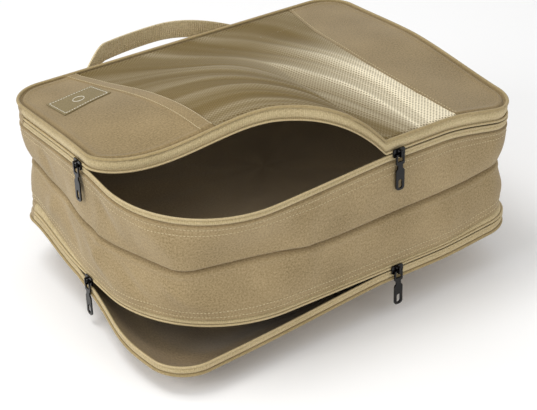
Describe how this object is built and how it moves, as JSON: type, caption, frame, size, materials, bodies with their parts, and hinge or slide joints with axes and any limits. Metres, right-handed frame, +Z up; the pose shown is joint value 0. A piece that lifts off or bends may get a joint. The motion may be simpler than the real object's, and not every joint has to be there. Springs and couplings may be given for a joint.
{
  "type": "packing cube",
  "caption": "Soft rounded rectangular packing cube with an upper and a lower zipped compartment, mesh window in the top and a webbing handle.",
  "frame": {"origin": "middle of the flat the cube rests on", "axes": "+X along the long side, +Y towards the handle, +Z up out of the upper lid"},
  "size_m": [0.3634, 0.3145, 0.221],
  "materials": {
    "gusset_cloth": "woven polyester, matt",
    "panel_cloth": "woven polyester, matt",
    "binding": "folded binding, matt",
    "mesh": "open knitted mesh, slight sheen",
    "lining": "plain woven lining, matt",
    "zip_tape": "woven zip tape, matt",
    "zip_coil": "nylon coil, satin",
    "label": "woven patch with pale stitching",
    "webbing": "ribbed webbing, matt",
    "slider_metal": "glossy black paint on zinc"
  },
  "bodies": {
    "lower_lid": {"lower_panel": "panel_cloth", "lower_piping": "binding", "lower_lid_tape": "zip_tape", "lower_lid_chain": "zip_coil", "lower_lid_hinge_strip": "binding"},
    "cube_body": {"gusset_lower": "gusset_cloth", "gusset_upper": "gusset_cloth", "divider": "lining", "upper_body_tape": "zip_tape", "upper_body_chain": "zip_coil", "lower_body_tape": "zip_tape", "lower_body_chain": "zip_coil", "upper_body_hinge_strip": "binding", "lower_body_hinge_strip": "binding", "handle_end_left": "webbing", "handle_end_right": "webbing"},
    "upper_lid": {"left_panel": "panel_cloth", "mesh_window": "mesh", "right_panel": "panel_cloth", "binding_strip": "binding", "label_patch": "label", "upper_piping": "binding", "upper_lid_tape": "zip_tape", "upper_lid_chain": "zip_coil", "upper_lid_hinge_strip": "binding"},
    "handle": {"handle_strap": "webbing"},
    "upper_left_slider_body": {"upper_left_slider": "slider_metal", "upper_left_bridge": "slider_metal"},
    "upper_left_pull_body": {"upper_left_pull": "slider_metal"},
    "upper_right_slider_body": {"upper_right_slider": "slider_metal", "upper_right_bridge": "slider_metal"},
    "upper_right_pull_body": {"upper_right_pull": "slider_metal"},
    "lower_left_slider_body": {"lower_left_slider": "slider_metal", "lower_left_bridge": "slider_metal"},
    "lower_left_pull_body": {"lower_left_pull": "slider_metal"},
    "lower_right_slider_body": {"lower_right_slider": "slider_metal", "lower_right_bridge": "slider_metal"},
    "lower_right_pull_body": {"lower_right_pull": "slider_metal"}
  },
  "joints": [
    {"name": "lower_zip_open", "type": "hinge", "parent": "lower_lid", "child": "cube_body", "pos_m": [0, 0.138, 0.0435], "axis": [-1, 0, 0], "range_deg": [0, 80]},
    {"name": "upper_lid_open", "type": "hinge", "parent": "cube_body", "child": "upper_lid", "pos_m": [0, 0.138, 0.1575], "axis": [-1, 0, 0], "range_deg": [0, 95]},
    {"name": "handle_swing", "type": "hinge", "parent": "cube_body", "child": "handle", "pos_m": [-0.008, 0.1502, 0.1419], "axis": [-1, 0, 0], "range_deg": [-35, 35]},
    {"name": "upper_left_slider_run", "type": "slide", "parent": "cube_body", "child": "upper_left_slider_body", "axis": [0, 1, 0], "range_m": [0, 0.095]},
    {"name": "upper_right_slider_run", "type": "slide", "parent": "cube_body", "child": "upper_right_slider_body", "axis": [1, 0, 0], "range_m": [0, 0.095]},
    {"name": "upper_left_pull_swing", "type": "hinge", "parent": "upper_left_slider_body", "child": "upper_left_pull_body", "pos_m": [-0.1815, 0.002, 0.1562], "axis": [0, 1, 0], "range_deg": [0, 90]},
    {"name": "upper_right_pull_swing", "type": "hinge", "parent": "upper_right_slider_body", "child": "upper_right_pull_body", "pos_m": [0.042, -0.1415, 0.1562], "axis": [-1, 0, 0], "range_deg": [0, 90]},
    {"name": "lower_left_slider_run", "type": "slide", "parent": "cube_body", "child": "lower_left_slider_body", "axis": [0, 1, 0], "range_m": [0, 0.095]},
    {"name": "lower_right_slider_run", "type": "slide", "parent": "cube_body", "child": "lower_right_slider_body", "axis": [1, 0, 0], "range_m": [0, 0.095]},
    {"name": "lower_left_pull_swing", "type": "hinge", "parent": "lower_left_slider_body", "child": "lower_left_pull_body", "pos_m": [-0.1815, 0.002, 0.0422], "axis": [0, 1, 0], "range_deg": [0, 90]},
    {"name": "lower_right_pull_swing", "type": "hinge", "parent": "lower_right_slider_body", "child": "lower_right_pull_body", "pos_m": [0.042, -0.1415, 0.0422], "axis": [-1, 0, 0], "range_deg": [0, 90]}
  ]
}
